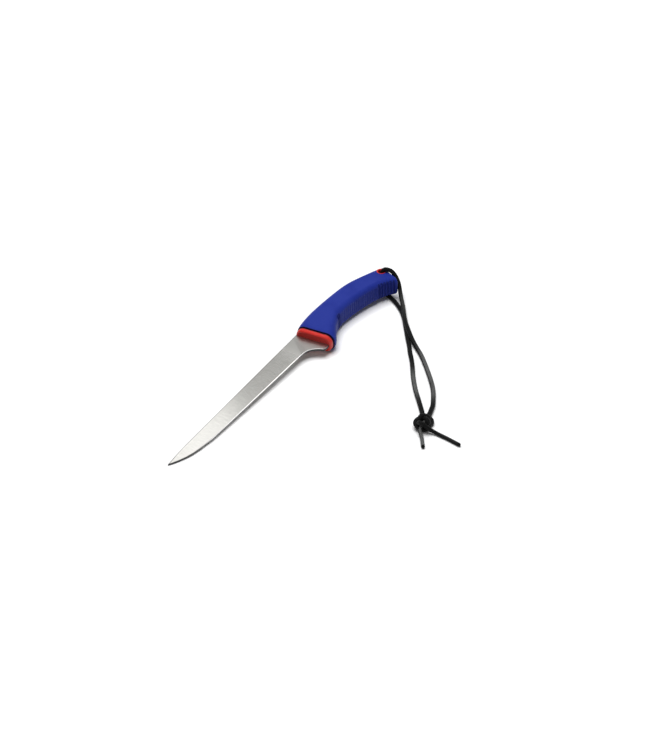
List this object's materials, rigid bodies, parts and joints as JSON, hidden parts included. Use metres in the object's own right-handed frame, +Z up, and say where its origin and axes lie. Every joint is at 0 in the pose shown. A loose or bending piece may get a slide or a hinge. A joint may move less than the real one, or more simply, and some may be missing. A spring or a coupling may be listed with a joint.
{
  "type": "fillet knife",
  "caption": "Fillet knife with a slim upswept blade, a drooping soft grip moulded over a hard core with a front plug, and a cord lanyard knotted through a hole at the butt.",
  "frame": {"origin": "middle of the footprint of blade and handle, without the lanyard, at the height of the table the knife lies on", "axes": "+X from the blade's tip to the butt, +Y from the edge to the spine, +Z up out of the table"},
  "size_m": [0.3069, 0.1866, 0.0267],
  "materials": {
    "blade": "fine satin",
    "core": "moulded red, half gloss",
    "grip": "soft blue overmould, dull, ribbed",
    "cord": "black braided cord"
  },
  "bodies": {
    "root": {"blade": "blade", "handle_core": "core", "grip": "grip", "lanyard_upper": "cord", "lanyard_lower": "cord", "lanyard_knot": "cord", "lanyard_short_tail": "cord", "lanyard_long_tail": "cord"}
  },
  "joints": []
}
